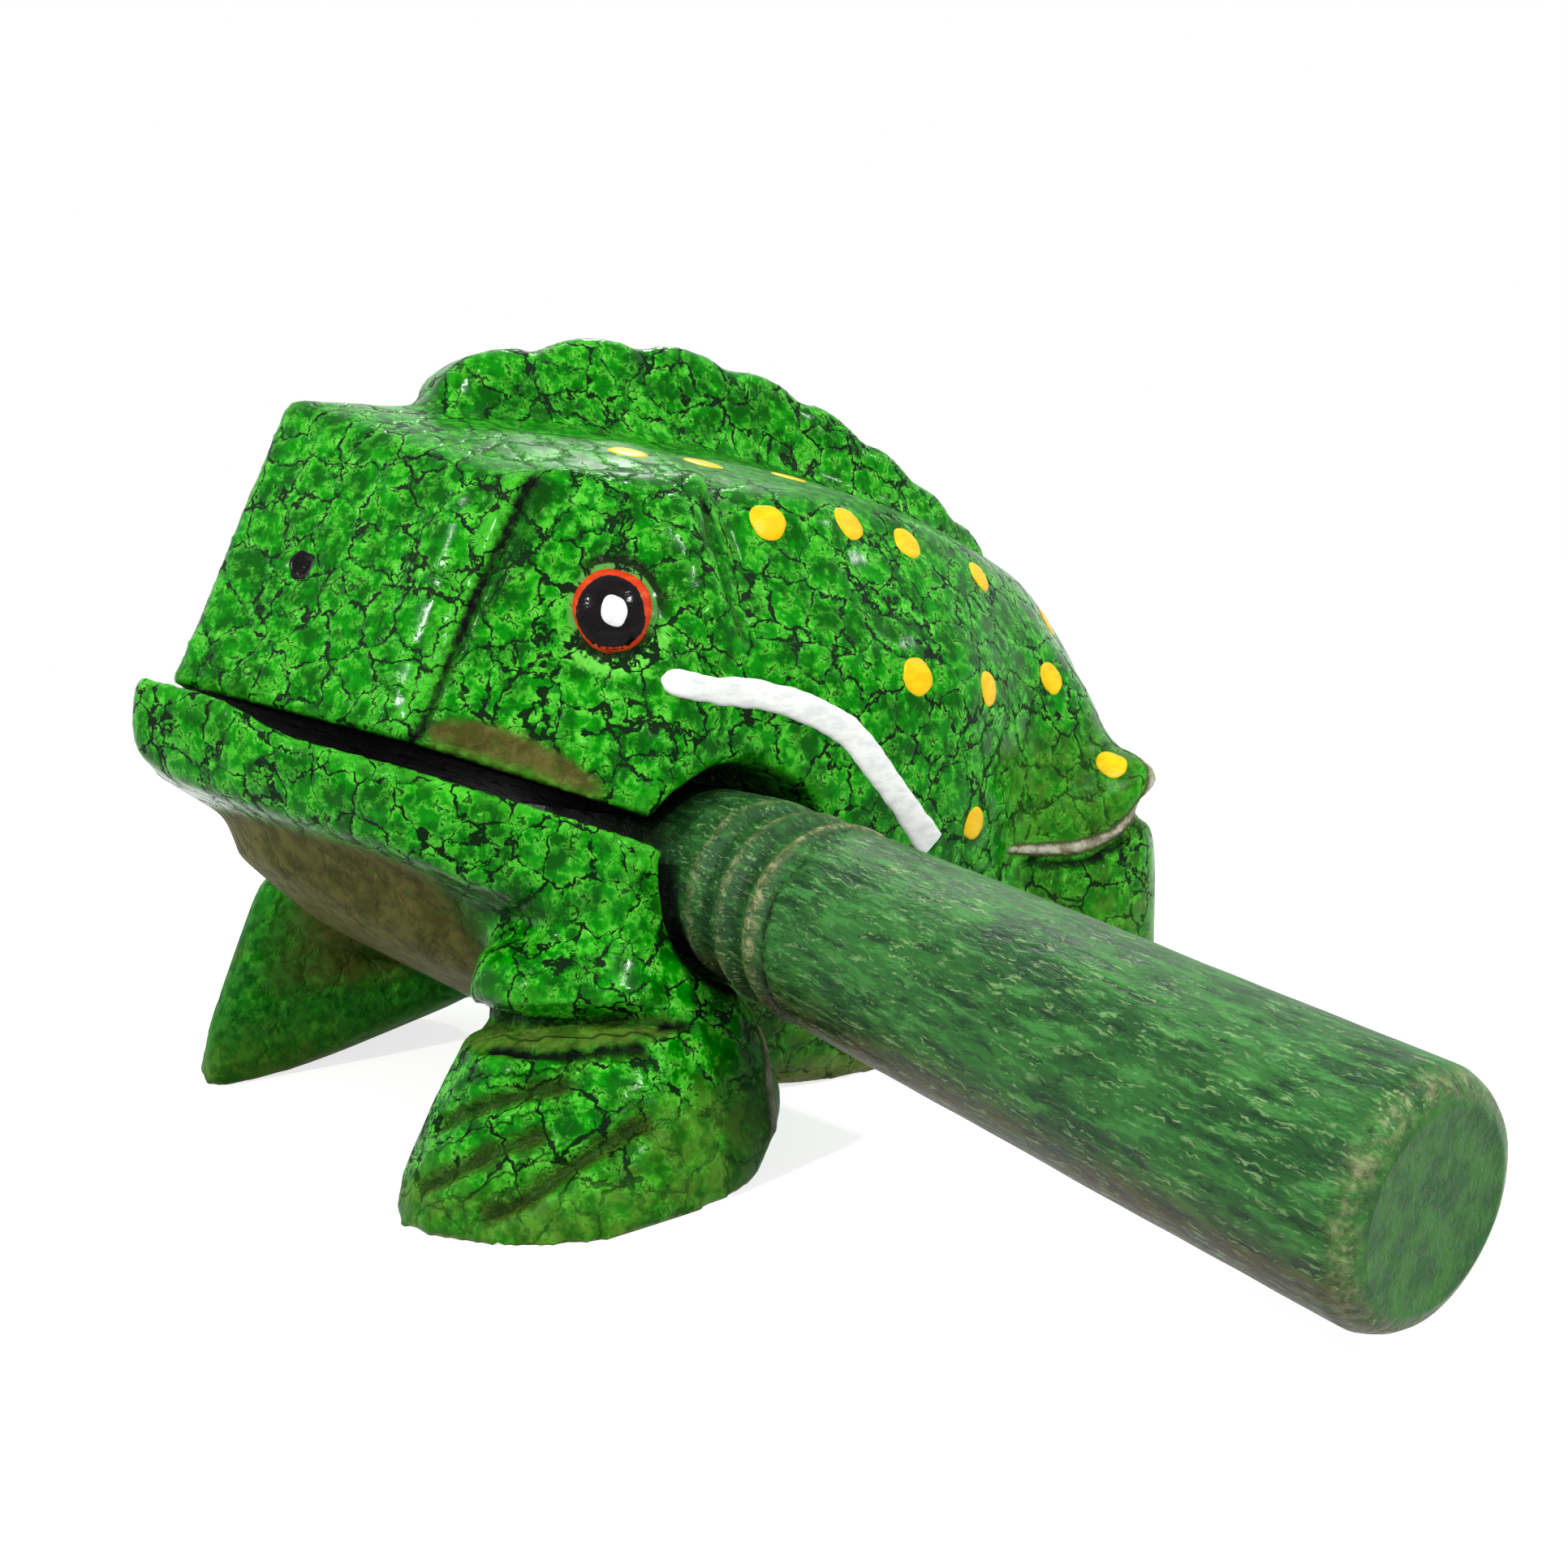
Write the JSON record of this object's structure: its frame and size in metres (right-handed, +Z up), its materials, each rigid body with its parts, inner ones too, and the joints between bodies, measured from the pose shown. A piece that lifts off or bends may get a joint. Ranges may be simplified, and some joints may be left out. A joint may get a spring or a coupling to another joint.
{
  "type": "frog guiro",
  "caption": "Carved and painted wooden frog rasp with a ridged back, an open mouth slot and a cross bore that stores its turned wooden stick.",
  "frame": {"origin": "on the ground plane under the belly, on the plane of symmetry of the carved frog", "axes": "+X is the frog's left side, where the stick leaves the bore; -Y is the nose; +Z is up"},
  "size_m": [0.1596, 0.1155, 0.0813],
  "materials": {
    "carved_green": "crackled green gloss paint with olive and near-black cracks",
    "stick_green": "satin green stain over open wood grain, worn on the edges"
  },
  "bodies": {
    "root": {"frog_body": "carved_green", "rasp_stick": "stick_green"}
  },
  "joints": []
}
